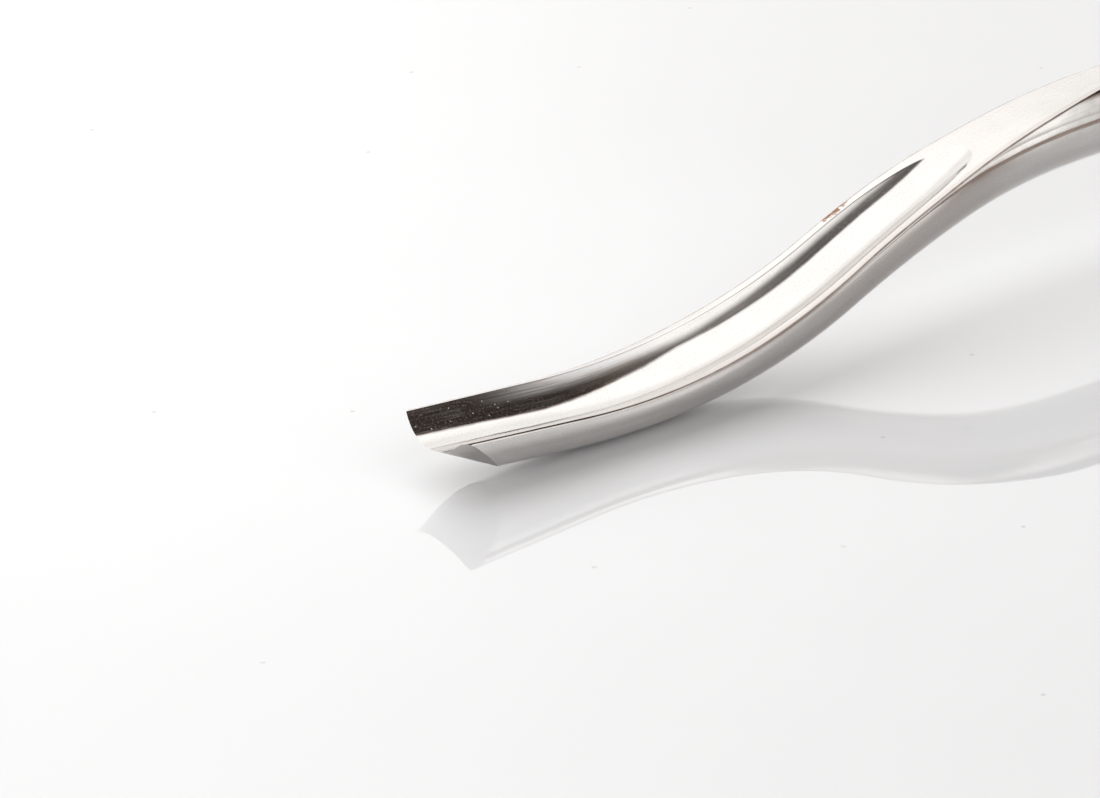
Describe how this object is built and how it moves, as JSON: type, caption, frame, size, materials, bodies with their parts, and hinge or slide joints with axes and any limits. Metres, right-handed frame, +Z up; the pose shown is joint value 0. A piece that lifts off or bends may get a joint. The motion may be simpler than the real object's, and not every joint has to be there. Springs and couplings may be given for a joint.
{
  "type": "dental elevator",
  "caption": "Gouge-type dental elevator: S-curved polished steel blade with a scooped, bevelled tip, on a hollow faceted handle with silicone grip rings.",
  "frame": {"origin": "middle of the bounding box in X and Y, at the height of the table the tool lies on (belly of the blade and lowest flat of the handle)", "axes": "+X from the cutting tip to the butt of the handle, +Z up with the scoop facing up, +Y to the left when looking from the tip towards the handle"},
  "size_m": [0.154, 0.0138, 0.0138],
  "materials": {
    "blade_steel": "mirror-polished martensitic stainless steel",
    "handle_steel": "satin stainless steel",
    "fastener_steel": "plain turned stainless steel",
    "grip_silicone": "matt silicone",
    "colour_silicone": "matt silicone",
    "seal_rubber": "matt rubber"
  },
  "bodies": {
    "root": {"blade": "blade_steel", "front_seal": "seal_rubber", "front_cone": "handle_steel", "cone_seal": "seal_rubber", "tang_pin": "fastener_steel", "handle_tube": "handle_steel", "tang_washer": "fastener_steel", "tang_nut": "fastener_steel", "rear_plug": "handle_steel", "plug_seal": "seal_rubber", "colour_ring": "colour_silicone", "grip_ring_1": "grip_silicone", "grip_ring_2": "grip_silicone", "grip_ring_3": "grip_silicone", "grip_ring_4": "grip_silicone", "grip_ring_5": "grip_silicone"}
  },
  "joints": []
}
